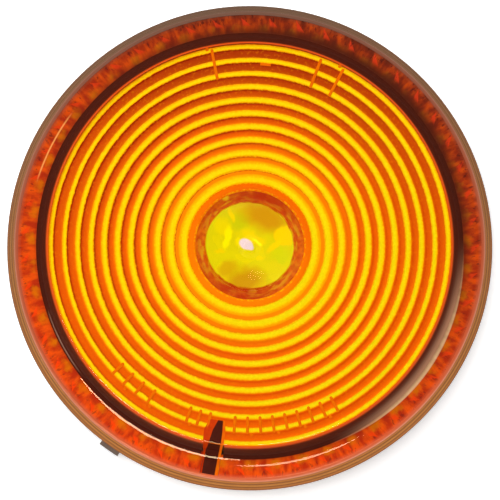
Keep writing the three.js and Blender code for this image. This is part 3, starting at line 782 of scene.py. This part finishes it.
def board_laminate():
    """Green solder mask over straight tracks, with tinned pads."""
    s = Shading("board_laminate")
    grid = s.math("FRACT", s.over(s.x, TRACK_PITCH))
    track = s.step(s.apart(grid, 0.5), 0.16, 0.13)
    runs = s.step(s.noise(0.12, 1, stretch=(1, 0.3, 0)), 0.48, 0.5)
    mask = s.mix(s.noise(1.5, 3), srgb(18, 78, 48), srgb(26, 92, 58))
    tracked = s.mix(s.times(track, runs), mask, srgb(44, 122, 76))
    cell = s.vector("FRACTION", s.vector("SCALE", s.place, scale=1 / PAD_PITCH))
    far = s.vector("MULTIPLY", s.vector("SUBTRACT", cell, (0.5, 0.5, 0.5)), (1, 1, 0))
    reach = s.add("ShaderNodeVectorMath")
    reach.operation = "LENGTH"
    s.join(far, reach.inputs[0])
    pad = s.times(s.step(reach.outputs["Value"], 0.13, 0.1), s.step(s.noise(0.2, 1), 0.5, 0.52))
    colour = s.mix(pad, tracked, srgb(190, 190, 186))
    return s.finish(s.surface(colour, 0.35, bump=track, bump_depth=0.03))


def paint_nodes():
    """Gives each CAD node that stays its own finish."""
    black = srgb(34, 36, 40)
    steel = srgb(206, 208, 212)
    looks = {
        "lens_seal": moulded("seal_rubber", srgb(26, 26, 28), 0.7, 2.0),
        "reflector_dish": moulded("dish_white", srgb(236, 232, 220), 0.3, 1.5),
        "heat_spreader": drawn_metal("spreader_metal", steel, 0.35),
        "control_board": board_laminate(),
        "driver_chip": moulded("chip_plastic", srgb(26, 26, 28), 0.45, 5.0),
        "storage_capacitor": drawn_metal("can_metal", srgb(214, 216, 220), 0.25, (8, 8, 1)),
        "switch_body": moulded("switch_plastic", black, 0.5, 4.0),
        "switch_button": moulded("button_plastic", srgb(224, 218, 204), 0.35, 3.0),
        "cell_holder": moulded("holder_plastic", black, 0.5, 3.0),
        "coin_cell": drawn_metal("cell_steel", steel, 0.22, (12, 1, 1)),
        "cell_contact": drawn_metal("contact_brass", srgb(224, 192, 110), 0.28),
        "board_screw": drawn_metal("screw_steel", srgb(196, 198, 204), 0.3, (5, 5, 1)),
    }
    for name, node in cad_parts.items():
        for start, material in looks.items():
            if name.startswith(start):
                node.data.materials.clear()
                node.data.materials.append(material)


# ---- the lens


def skirt_profile():
    """Stepped skirt, from the shoulder down to the rim: (radius, height) points with soft edges."""
    points = [(SHOULDER_CENTRE + SHOULDER_ROUND + 0.03, LENS_LOW + SKIRT_STEPS * STEP_RUN + 0.2)]
    for step in reversed(range(SKIRT_STEPS)):
        radius = LENS_RADIUS - step * STEP_IN
        top = LENS_LOW + (step + 1) * STEP_RUN
        low = top - STEP_RUN
        points += [(radius - 0.26, top - 0.02), (radius - 0.12, top - 0.08)]
        points += [(radius - 0.07, top - 0.2), (radius, low + 0.12)]
    points.append((LENS_RADIUS - 0.15, LENS_LOW))
    return points


def shell_underside(skirt, dark, inside):
    """The lens's inner faces, from the rim up and in to the axis."""
    inner_skirt = LENS_RADIUS - SKIRT_THICKNESS
    ceiling = LENS_HIGH - PLATEAU_THICKNESS
    return [
        (inner_skirt, LENS_LOW, skirt), (inner_skirt - 0.15, LENS_LOW + 0.2, skirt),
        (47.95, FLANGE_UNDERSIDE - 0.9, inside), (47.8, FLANGE_UNDERSIDE, inside),
        (42.5, FLANGE_UNDERSIDE, dark), (41.55, LENS_HIGH - 1.6, inside),
        (41.2, ceiling, inside), (WINDOW_RADIUS, ceiling, inside), (0, ceiling, inside),
    ]


def shell_profile(clear, wall, skirt, inside):
    """The lens's section, from the axis over the outside and back under it."""

    def dark(angle):
        """The dark wall is left out over the keyway."""
        offset = (angle - KEYWAY_MIDDLE + math.pi) % (2 * math.pi) - math.pi
        return inside if abs(offset) < KEYWAY_HALF else wall

    profile = [(0, LENS_HIGH, clear), (WINDOW_RADIUS, LENS_HIGH, clear), (28, LENS_HIGH, clear)]
    edge_centre = (PLATEAU_RADIUS - EDGE_ROUND, LENS_HIGH - EDGE_ROUND)
    edge = arc(edge_centre, EDGE_ROUND, 90, 8, 6)
    profile += [(r, z, clear if index < 3 else dark) for index, (r, z) in enumerate(edge)]
    fillet_centre = (FILLET_CENTRE, FLANGE_TOP + FILLET_RADIUS)
    top = edge[-1]
    foot = arc(fillet_centre, FILLET_RADIUS, WALL_FOOT, WALL_FOOT + 1, 1)[0]
    for index in range(5):
        share = (index + 1) / 6
        profile.append((top[0] + (foot[0] - top[0]) * share, top[1] + (foot[1] - top[1]) * share, dark))
    profile += [(r, z, dark) for r, z in arc(fillet_centre, FILLET_RADIUS, WALL_FOOT, DARK_WALL_END - 3, 7)]
    profile += [(r, z, clear) for r, z in arc(fillet_centre, FILLET_RADIUS, DARK_WALL_END, 270, 7)]
    shoulder_centre = (SHOULDER_CENTRE, FLANGE_TOP - SHOULDER_ROUND)
    shoulder = arc(shoulder_centre, SHOULDER_ROUND, 90, 8, 10)
    profile += [(r, z, skirt) for r, z in shoulder]
    profile += [(r, z, skirt) for r, z in skirt_profile()]
    return profile + shell_underside(skirt, dark, inside)


def shell_angles():
    """Even columns all round, and finer ones over the keyway."""
    angles = even_angles(SHELL_COLUMNS)
    fine = [KEYWAY_MIDDLE + math.radians(0.35) * index for index in range(-12, 13)]
    coarse = [a for a in angles if not fine[0] - 0.004 < a < fine[-1] + 0.004]
    return sorted(coarse + fine)


def make_shell():
    profile = shell_profile(0, 1, 2, 3)
    materials = [clear_amber(), wall_amber(), skirt_amber(), inside_amber()]
    shell = turned("lens_shell", profile, shell_angles(), materials, sharp=50)
    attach(shell, "lens")
    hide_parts("lens_cap")
    lugs = merged([
        sector(LUG_INNER, LUG_OUTER, LUG_LOW, LUG_TOP, math.radians(30 + 120 * index), math.radians(10))
        for index in range(3)
    ])
    piece = new_object("bayonet_lugs", *lugs, [materials[2]])
    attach(piece, "lens")


# One band of the optic: how far each point lies outwards of its middle and below the top
BAND_SHAPE = [
    (-0.62, RELIEF), (-0.54, 0.12), (-0.3, 0.02), (0.05, 0), (0.4, 0.03),
    (0.66, 0.12), (0.9, 0.26), (1.4, 0.34), (1.9, 0.37),
]


def optic_top():
    """The upper face of the ring optic, outwards: a steep inner riser to each rounded band."""
    points = [
        (WINDOW_RADIUS, OPTIC_TOP - RELIEF), (WINDOW_RADIUS + 0.1, OPTIC_TOP - 0.1),
        (WINDOW_RADIUS + 0.3, OPTIC_TOP), (FIRST_RING - 1.0, OPTIC_TOP), (FIRST_RING - 0.8, OPTIC_TOP - 0.25),
    ]
    for index in range(RING_COUNT):
        middle = FIRST_RING + index * RING_PITCH
        band = BAND_SHAPE if index < RING_COUNT - 1 else BAND_SHAPE[:4]
        points += [(middle + aside, OPTIC_TOP - drop) for aside, drop in band]
    points.append((OPTIC_RADIUS, OPTIC_TOP - 0.05))
    return points


def make_optic():
    top = optic_top()
    under = [(radius, height - OPTIC_THICKNESS) for radius, height in reversed(top[::2])]
    optic = turned("ring_optic", top + under, even_angles(SHELL_COLUMNS), [ring_amber()], sharp=60)
    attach(optic, "lens")
    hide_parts("lens_cap")


# Keyway stations: radius, then how far left of its line the outer left edge, the floor's two edges
# and the outer right edge lie, and the height of the lens's inside there
KEYWAY_STATIONS = [
    (36.5, 2.6, 1.0, 0.0, -0.45, 17.15),
    (38.6, 3.6, 1.8, -0.2, -0.8, 17.15),
    (40.9, 3.5, 2.2, -0.25, -0.85, 17.15),
    (41.25, 3.5, 2.2, -0.2, -0.8, 16.7),
    (42.35, 3.3, 2.6, -0.1, -0.6, 11.6),
    (42.6, 3.2, 2.7, -0.1, -0.6, 11.3),
    (44.3, 2.97, 2.72, 0.0, -0.55, 11.3),
    (47.0, 3.15, 2.75, 0.1, -0.6, 11.3),
    (47.7, 3.18, 2.75, 0.1, -0.6, 11.3),
]


def keyway_point(radius, left, height):
    """A point at a radius along the keyway's line, moved left of it."""
    along = Vector((math.cos(KEYWAY_ANGLE), math.sin(KEYWAY_ANGLE), 0))
    leftward = Vector((along.y, -along.x, 0))
    return (along * radius + leftward * left + Vector((0, 0, height))) * MM


def make_keyway():
    """A trough that follows the lens's inside: slopes at both sides of a raised dark floor."""
    loops = []
    for radius, outer_left, floor_left, floor_right, outer_right, top in KEYWAY_STATIONS:
        side = top - 0.22
        under = top - 0.3
        across = [
            (outer_left, side), (floor_left, top), (floor_right, top), (outer_right, side),
            (outer_right, under), (outer_left, under),
        ]
        loops.append([keyway_point(radius, left, level) for left, level in across])
    vertices, faces, tags = loft(loops, closed=False, tag_of=lambda corner: 1 if corner == 1 else 0)
    keyway = new_object("keyway", vertices, faces, tags, [keyway_amber(), keyway_dark()], sharp=20)
    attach(keyway, "lens")


# Plain moulded bars: angle in degrees, inner and outer radius
MARK_BARS = [(-123 - 4.6 * index, 35.4, 38.8) for index in range(4)]
MARK_BARS += [(-103 - 3.4 * index, 35.2, 38.6) for index in range(3)]
MARK_BARS += [(-62 - 4.1 * index, 35.2, 38.8) for index in range(9)]
MARK_BARS += [(101, 34.6, 41.0), (69, 34.6, 41.0), (62, 34.6, 41.0)]
MARK_LOW = OPTIC_TOP + 0.05
MARK_HIGH = OPTIC_TOP + 0.33


def rounded_bar(angle, inner, outer, width=0.62):
    """A low bar along a radius with sloping sides and ends."""
    turn = math.radians(angle)
    along = Vector((math.cos(turn), math.sin(turn), 0))
    aside = Vector((-along.y, along.x, 0))
    tip = width * 0.3
    side = width / 2
    loops = []
    for radius, half in ((inner, tip), (inner + 0.25, side), (outer - 0.25, side), (outer, tip)):
        section = [(-half, MARK_LOW), (half, MARK_LOW), (half * 0.6, MARK_HIGH), (-half * 0.6, MARK_HIGH)]
        loops.append([
            (along * radius + aside * left + Vector((0, 0, level))) * MM for left, level in section
        ])
    return loft(loops, closed=False)


def make_marks():
    bars = [rounded_bar(angle, inner, outer) for angle, inner, outer in MARK_BARS]
    bars += [rounded_bar(angle + 1.3, outer - 0.2, outer + 0.5, 0.7) for angle, _, outer in MARK_BARS[::2]]
    bars.append(sector(37.0, 37.5, MARK_LOW, MARK_HIGH, math.radians(85), math.radians(3.4)))
    marks = new_object("moulded_bars", *merged(bars), [mark_amber()])
    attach(marks, "lens")


def make_reflex():
    """Radial prisms in a broken ring: V ridges, lipped over the seal, with a gap at the keyway."""
    gap_start = KEYWAY_ANGLE - math.radians(3.95)
    gap_end = KEYWAY_ANGLE + math.radians(0.8)
    pitch = 2 * math.pi / PRISM_COUNT
    count = PRISM_COUNT * PRISM_COLUMNS
    loops = []
    for index in range(count + 1):
        angle = gap_end + (2 * math.pi - (gap_end - gap_start)) * index / count
        phase = ((angle - FIRST_PRISM) / pitch + 0.28) % 1.0
        ridge = 1 - min(phase, 1 - phase) * 2
        crest = FLANGE_UNDERSIDE - 0.42 + 0.34 * ridge ** 1.5
        section = [
            (SEAL_EDGE, REFLEX_LOW), (REFLEX_OUTER - 0.15, REFLEX_LOW), (REFLEX_OUTER, 10.2),
            (REFLEX_OUTER, crest - 0.12), (REFLEX_OUTER - 0.2, crest - 0.02), (46.3, crest),
            (45.2, crest - 0.04), (44.2, crest - 0.08), (REFLEX_INNER, crest - 0.14),
            (REFLEX_INNER, REFLEX_STEP), (SEAL_EDGE, REFLEX_STEP),
        ]
        loops.append([polar(radius, angle, height) for radius, height in section])
    vertices, faces, tags = loft(loops, closed=False)
    reflex = new_object("reflex_prisms", vertices, faces, tags, [prism_amber()], sharp=40)
    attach(reflex, "lens")
    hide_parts("reflex_ring")


# ---- the middle


def make_collar(middle):
    """The collar's flat speckled face, and the faceted bowl inside it."""
    face = COLLAR_TOP
    profile = [
        (3.0, COLLAR_LOW), (8.2, COLLAR_LOW), (8.2, COLLAR_LOW + 1.4), (11.3, COLLAR_LOW + 3.2),
        (11.42, face - 0.15), (11.3, face), (10.2, face - 0.12), (9.5, face - 0.05),
        (9.2, face - 0.15), (9.14, face - 1.0), (8.4, face - 1.1), (6.6, face - 1.7),
        (4.8, face - 2.4), (3.4, face - 3.0), (2.5, face - 3.25), (2.4, face - 3.32),
        (2.62, face - 3.38), (2.7, face - 3.8),
    ]
    collar = turned("collar_and_bowl", profile, even_angles(96), [middle], sharp=40)
    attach(collar, "base")
    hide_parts("emitter_collar")


def make_emitter(middle):
    """A square body in a round frame, under a silicone dome."""
    body_top = EMITTER_TOP - CHIP_DOME
    frame_top = body_top - 0.12
    frame_profile = [
        (0, EMITTER_LOW), (FRAME_RADIUS - 0.05, EMITTER_LOW), (FRAME_RADIUS, EMITTER_LOW + 0.1),
        (FRAME_RADIUS, frame_top - 0.1), (FRAME_RADIUS - 0.08, frame_top), (0, frame_top),
    ]
    ring = turned("emitter_frame", frame_profile, even_angles(64), [middle])
    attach(ring, "base")
    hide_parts("led_emitter")
    corners = [
        (-CHIP_HALF, -CHIP_HALF), (CHIP_HALF, -CHIP_HALF), (CHIP_HALF, CHIP_HALF), (-CHIP_HALF, CHIP_HALF),
    ]
    levels = [(frame_top + 0.01, 1.0), (body_top - 0.05, 1.0), (body_top, 0.94)]
    loops = [[Vector((x * k, y * k, z)) * MM for x, y in corners] for z, k in levels]
    body = new_object("emitter_body", *loft(loops, closed=False), [middle])
    dome_profile = [(0, body_top - 0.2), (CHIP_DOME, body_top - 0.2)]
    dome_profile += arc((0, body_top), CHIP_DOME, 0, 84, 8)
    dome_profile.append((0, EMITTER_TOP))
    dome = turned("emitter_dome", dome_profile, even_angles(40), [middle])
    for piece in (body, dome):
        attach(piece, "base")
        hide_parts("led_emitter")


def make_dome():
    """The bull's-eye: a low glass dome on a short upright edge."""
    rise = DOME_TOP - DOME_LOW - DISC_EDGE
    profile = [(0, DOME_LOW), (DISC_RADIUS - 0.1, DOME_LOW), (DISC_RADIUS, DOME_LOW + 0.1)]
    for step in range(17):
        lean = step / 16 * math.pi / 2
        radius = 0 if step == 16 else DISC_RADIUS * math.cos(lean)
        profile.append((radius, DOME_LOW + DISC_EDGE + rise * math.sin(lean)))
    dome = turned("bullseye_dome", profile, even_angles(128), [dome_glass()])
    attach(dome, "base")
    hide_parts("bullseye_lens")


# ---- the base


def base_section(top):
    """The base's section outwards from the axis, with rounded edges and a groove for the seal."""
    return [
        (0, BASE_LOW), (48.5, BASE_LOW), (48.85, BASE_LOW + 0.12), (BASE_RADIUS, BASE_LOW + 0.45),
        (BASE_RADIUS, BASE_LOW + 2.3), (48.85, BASE_LOW + 2.6), (48.6, BASE_FLOOR), (45.2, BASE_FLOOR),
        (45.2, top - 0.2), (45.0, top), (44.3, top), (44.3, top - GROOVE_DEPTH),
        (42.2, top - GROOVE_DEPTH), (42.2, top), (41.6, top), (41.4, top - 0.2),
        (41.4, BASE_FLOOR), (0, BASE_FLOOR),
    ]


def post(angle):
    """A round boss that carries the board."""
    centre = polar(POST_CIRCLE, angle, 0) / MM
    loops = []
    for level, radius in (
        (BASE_FLOOR + 0.02, POST_RADIUS), (BASE_LOW + 3.2, POST_RADIUS), (BASE_LOW + 3.3, POST_RADIUS - 0.15),
    ):
        loops.append([
            Vector((centre.x + radius * math.cos(turn), centre.y + radius * math.sin(turn), level)) * MM
            for turn in even_angles(40)
        ])
    return loft(loops, closed=False)


def base_parts():
    """The broken rim that the lens locks under, the index lug and the three posts."""
    parts = []
    for index in range(3):
        middle = math.radians(52 + 120 * index) + math.pi / 3
        parts.append(sector(45.22, 46.7, BROKEN_RIM, BROKEN_RIM + 1.2, middle, math.radians(106), 40))
    parts.append(sector(49.02, 50.8, BASE_LOW, BASE_FLOOR, INDEX_ANGLE, math.radians(5)))
    parts.extend(post(math.radians(30 + 120 * index)) for index in range(3))
    return merged(parts)


def make_base():
    plastic = moulded("base_plastic", srgb(98, 84, 76), 0.5, 2.5)
    base = turned("base_shell", base_section(BASE_WALL_TOP), even_angles(192), [plastic])
    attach(base, "base")
    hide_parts("base_housing")
    details = new_object("base_details", *base_parts(), [plastic])
    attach(details, "base")
    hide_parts("base_housing")


def make_pad():
    """The butyl pad: a slightly uneven squeezed edge."""
    section = [
        (0, PAD_LOW), (47.1, PAD_LOW), (47.4, PAD_LOW + 0.2), (47.5, 0.75), (47.35, PAD_TOP - 0.15),
        (47.0, PAD_TOP), (0, PAD_TOP),
    ]
    butyl = moulded("butyl", srgb(30, 30, 33), 0.75, 1.2)
    pad = turned("butyl_pad", section, even_angles(240), [butyl])
    for vertex in pad.data.vertices:
        reach = vertex.co.to_2d().length / MM
        if reach > 46:
            angle = math.atan2(vertex.co.y, vertex.co.x)
            squeeze = 0.12 * math.sin(7 * angle + 1.0) + 0.08 * math.sin(17 * angle)
            squeeze += 0.05 * math.sin(31 * angle + 2.0)
            scale = 1 + (squeeze - 0.25) / reach
            vertex.co.x *= scale
            vertex.co.y *= scale
    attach(pad, "base")
    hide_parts("adhesive_pad")


# ---- studio

FLOOR_LIGHT = 0.72
FLOOR_RADIUS = 3300
FLOOR_THICKNESS = 5
FLOOR_GAP = 0.1


def make_floor():
    s = Shading("studio_floor")
    colour = s.mix(s.noise(0.02, 2), (0.86, 0.86, 0.86, 1), (0.88, 0.88, 0.88, 1))
    section = [(0, 0), (FLOOR_RADIUS, 0), (FLOOR_RADIUS, -FLOOR_THICKNESS), (0, -FLOOR_THICKNESS)]
    pale = s.glowing(colour, 1.0, FLOOR_LIGHT, roughness=0.9, specular=0.0)
    floor = turned("floor", section, even_angles(64), [pale])
    floor.location.z = CAD_LOW.z - FLOOR_GAP * MM
    floor.visible_glossy = False


def softbox(name, angle, elevation, distance, width, height, strength, glossy, colour=(1, 1, 1)):
    """An oval lamp that faces the marker. It lights it, or only shines in its gloss."""
    data = bpy.data.lights.new(name, "AREA")
    data.shape = "ELLIPSE"
    data.size = width
    data.size_y = height
    data.energy = strength * width * height * math.pi
    data.color = colour
    lamp = bpy.data.objects.new(name, data)
    bpy.context.scene.collection.objects.link(lamp)
    turn, lift = math.radians(angle), math.radians(elevation)
    away = Vector((math.cos(turn) * math.cos(lift), math.sin(turn) * math.cos(lift), math.sin(lift)))
    lamp.location = away * distance
    lamp.rotation_euler = away.to_track_quat("Z", "Y").to_euler()
    lamp.visible_camera = False
    lamp.visible_glossy = glossy
    lamp.visible_diffuse = not glossy


def make_lights():
    cream = (1.0, 0.74, 0.46)
    beige = (1.0, 0.62, 0.42)
    softbox("overhead", 125, 68, 1.6, 1.6, 1.6, 4.05, glossy=False)
    softbox("lower_left", -119, 37, 0.8, 0.64, 0.24, 17, glossy=True, colour=cream)
    softbox("front", -75, 73, 0.8, 0.15, 0.19, 12, glossy=True, colour=cream)
    softbox("left", -155, 14, 0.8, 0.26, 0.1, 12, glossy=True, colour=beige)


def make_world():
    """Dim surroundings, darker upwards."""
    world = bpy.data.worlds.new("studio")
    bpy.context.scene.world = world
    world.use_nodes = True
    tree = world.node_tree
    place = tree.nodes.new("ShaderNodeTexCoord")
    split = tree.nodes.new("ShaderNodeSeparateXYZ")
    tree.links.new(place.outputs["Generated"], split.inputs[0])
    ramp = tree.nodes.new("ShaderNodeValToRGB")
    level, overhead = ramp.color_ramp.elements
    level.color = (0.12, 0.12, 0.12, 1)
    overhead.position = 0.7
    overhead.color = (0.02, 0.02, 0.02, 1)
    tree.links.new(split.outputs[2], ramp.inputs[0])
    background = tree.nodes["Background"]
    tree.links.new(ramp.outputs[0], background.inputs["Color"])


# Camera, in metres
CAMERA_LENS = 900
CAMERA_DISTANCE = 2.5753
CAMERA_TILT = math.radians(2.9)
CAMERA_AIM = Vector((0.00006, -0.00044, 0.0055))


def make_camera():
    """Almost straight above, leaning a little to the front."""
    data = bpy.data.cameras.new("camera")
    data.lens = CAMERA_LENS
    data.sensor_width = 36
    data.clip_end = 20
    camera = bpy.data.objects.new("camera", data)
    bpy.context.scene.collection.objects.link(camera)
    away = Vector((0, -math.sin(CAMERA_TILT), math.cos(CAMERA_TILT)))
    camera.location = CAMERA_AIM + away * CAMERA_DISTANCE
    camera.rotation_euler = (-away).to_track_quat("-Z", "Y").to_euler()
    bpy.context.scene.camera = camera


# ---- the marker

make_camera()
make_shell()
make_optic()
make_keyway()
make_marks()
make_reflex()
lit = lit_middle()
make_collar(lit)
make_emitter(lit)
make_dome()
make_base()
make_pad()
paint_nodes()
make_floor()
make_lights()
make_world()
bpy.context.scene.view_settings.view_transform = "Standard"
